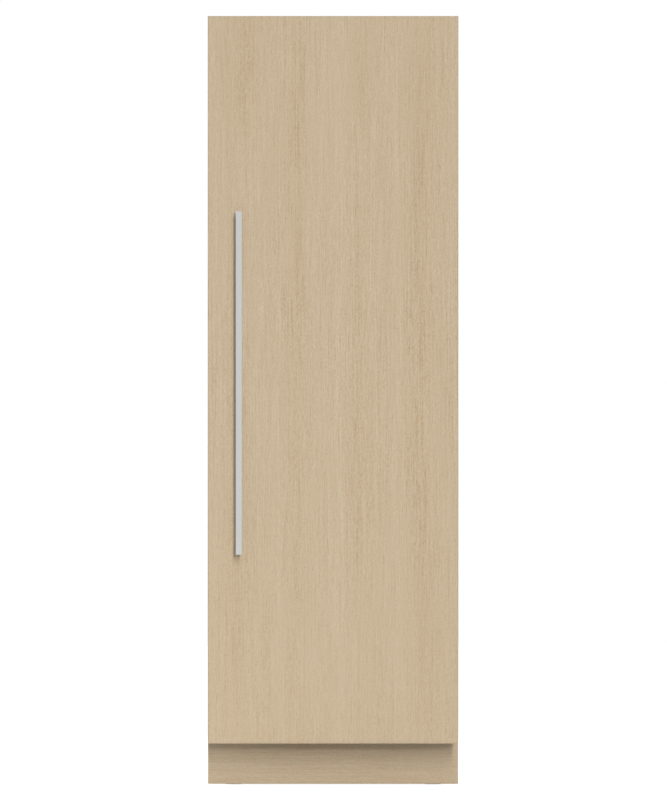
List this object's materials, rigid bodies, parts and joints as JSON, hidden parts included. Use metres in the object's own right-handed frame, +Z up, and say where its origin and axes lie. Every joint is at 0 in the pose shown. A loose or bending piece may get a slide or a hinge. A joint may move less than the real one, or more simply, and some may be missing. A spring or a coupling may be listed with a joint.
{
  "type": "built-in refrigerator",
  "caption": "Tall column refrigerator with a wood door panel, a slim upright bar handle, a recessed kick board, glass shelves, drawers and door bins.",
  "frame": {"origin": "on the floor, at the middle of the overall width and depth", "axes": "+Z up, the front faces -Y, +X to the right seen from the front"},
  "size_m": [0.603, 0.6722, 1.85],
  "materials": {
    "wood_veneer": "pale oak veneer with fine straight grain and a matt lacquer",
    "handle_metal": "satin stainless steel",
    "case_paint": "grey painted steel sheet",
    "zinc_steel": "zinc coated steel",
    "liner_plastic": "white thermoformed plastic",
    "duct_steel": "brushed stainless steel",
    "trim_metal": "satin metal caps",
    "clear_plastic": "clear moulded plastic",
    "shelf_glass": "clear tempered glass",
    "gasket_rubber": "soft grey seal",
    "black_plastic": "matt black moulded plastic",
    "black_steel": "black painted steel shell",
    "fin_aluminium": "plain aluminium fins",
    "foam": "rigid insulation foam",
    "light_cover": "milky light cover",
    "grey_plastic": "grey moulded plastic"
  },
  "bodies": {
    "cabinet": {"casing_shell": "case_paint", "rear_panel": "zinc_steel", "bottom_pan": "zinc_steel", "cabinet_foam": "foam", "inner_liner": "liner_plastic", "base_frame": "zinc_steel", "toe_kick_panel": "wood_veneer", "base_grille": "black_plastic", "compressor": "black_steel", "drip_tray": "black_plastic", "condenser": "fin_aluminium", "fan_shroud": "black_plastic", "machine_cover": "zinc_steel", "power_inlet": "black_plastic", "air_duct_panel": "duct_steel", "evaporator": "fin_aluminium", "control_housing": "grey_plastic", "light_diffuser": "light_cover", "crisper_cover_frame": "grey_plastic", "crisper_cover_glass": "shelf_glass", "shelf_1_frame": "grey_plastic", "shelf_1_glass": "shelf_glass", "shelf_2_frame": "grey_plastic", "shelf_2_glass": "shelf_glass", "shelf_3_frame": "grey_plastic", "shelf_3_glass": "shelf_glass", "shelf_4_frame": "grey_plastic", "shelf_4_glass": "shelf_glass", "top_hinge_plate": "zinc_steel", "bottom_hinge_plate": "zinc_steel", "anti_tip_bracket": "zinc_steel"},
    "door": {"door_skin": "zinc_steel", "door_foam": "foam", "door_liner": "liner_plastic", "door_gasket": "gasket_rubber", "hinge_bush_top": "black_plastic", "hinge_bush_bottom": "black_plastic", "door_panel": "wood_veneer", "panel_top_hanger": "zinc_steel", "panel_bottom_bracket": "zinc_steel", "handle_bar": "handle_metal", "handle_post_lower": "handle_metal", "handle_post_upper": "handle_metal"},
    "door_bin_1": {"door_bin_1": "clear_plastic"},
    "door_bin_2": {"door_bin_2": "clear_plastic"},
    "door_bin_3": {"door_bin_3": "clear_plastic"},
    "door_bin_4": {"door_bin_4": "clear_plastic"},
    "lower_crisper": {"lower_crisper_tub": "clear_plastic", "lower_crisper_front": "liner_plastic"},
    "upper_crisper": {"upper_crisper_tub": "clear_plastic", "upper_crisper_front": "liner_plastic"},
    "evaporator_fan": {"evaporator_fan": "grey_plastic"},
    "condenser_fan": {"condenser_fan": "grey_plastic"},
    "button_colder": {"button_colder": "trim_metal"},
    "button_warmer": {"button_warmer": "trim_metal"},
    "button_power": {"button_power": "trim_metal"},
    "levelling_foot_left": {"levelling_foot_left": "zinc_steel"},
    "levelling_foot_right": {"levelling_foot_right": "zinc_steel"},
    "rear_roller_left": {"rear_roller_left": "black_plastic"},
    "rear_roller_right": {"rear_roller_right": "black_plastic"}
  },
  "joints": [
    {"name": "door_swing", "type": "hinge", "parent": "cabinet", "child": "door", "pos_m": [0.285, -0.26405, 0.114], "axis": [0, 0, 1], "range_deg": [0, 110]},
    {"name": "lower_crisper_slide", "type": "slide", "parent": "cabinet", "child": "lower_crisper", "axis": [0, -1, 0], "range_m": [0, 0.235]},
    {"name": "upper_crisper_slide", "type": "slide", "parent": "cabinet", "child": "upper_crisper", "axis": [0, -1, 0], "range_m": [0, 0.235]},
    {"name": "door_bin_1_lift", "type": "slide", "parent": "door", "child": "door_bin_1", "axis": [0, 0, 1], "range_m": [0, 0.03]},
    {"name": "door_bin_2_lift", "type": "slide", "parent": "door", "child": "door_bin_2", "axis": [0, 0, 1], "range_m": [0, 0.03]},
    {"name": "door_bin_3_lift", "type": "slide", "parent": "door", "child": "door_bin_3", "axis": [0, 0, 1], "range_m": [0, 0.03]},
    {"name": "door_bin_4_lift", "type": "slide", "parent": "door", "child": "door_bin_4", "axis": [0, 0, 1], "range_m": [0, 0.03]},
    {"name": "evaporator_fan_spin", "type": "hinge", "parent": "cabinet", "child": "evaporator_fan", "pos_m": [0, 0.23745, 0.64], "axis": [0, 1, 0], "continuous": true},
    {"name": "condenser_fan_spin", "type": "hinge", "parent": "cabinet", "child": "condenser_fan", "pos_m": [-0.064, 0.24195, 0.125], "axis": [1, 0, 0], "continuous": true},
    {"name": "button_colder_press", "type": "slide", "parent": "cabinet", "child": "button_colder", "axis": [0, 1, 0], "range_m": [0, 0.0015], "stiffness_N_per_m": 1500, "springref_m": -0.0004},
    {"name": "button_warmer_press", "type": "slide", "parent": "cabinet", "child": "button_warmer", "axis": [0, 1, 0], "range_m": [0, 0.0015], "stiffness_N_per_m": 1500, "springref_m": -0.0004},
    {"name": "button_power_press", "type": "slide", "parent": "cabinet", "child": "button_power", "axis": [0, 1, 0], "range_m": [0, 0.0015], "stiffness_N_per_m": 1500, "springref_m": -0.0004},
    {"name": "foot_left_screw", "type": "slide", "parent": "cabinet", "child": "levelling_foot_left", "axis": [0, 0, -1], "range_m": [-0.014, 0.025]},
    {"name": "foot_right_screw", "type": "slide", "parent": "cabinet", "child": "levelling_foot_right", "axis": [0, 0, -1], "range_m": [-0.014, 0.025]},
    {"name": "roller_left_turn", "type": "hinge", "parent": "cabinet", "child": "rear_roller_left", "pos_m": [-0.24, 0.25895, 0.02], "axis": [1, 0, 0], "continuous": true},
    {"name": "roller_right_turn", "type": "hinge", "parent": "cabinet", "child": "rear_roller_right", "pos_m": [0.24, 0.25895, 0.02], "axis": [1, 0, 0], "continuous": true}
  ],
  "couplings": [
    {"joint": "lower_crisper_slide", "follows": "door_swing", "m_per_rad": 0.1224},
    {"joint": "upper_crisper_slide", "follows": "door_swing", "m_per_rad": 0.1224}
  ]
}
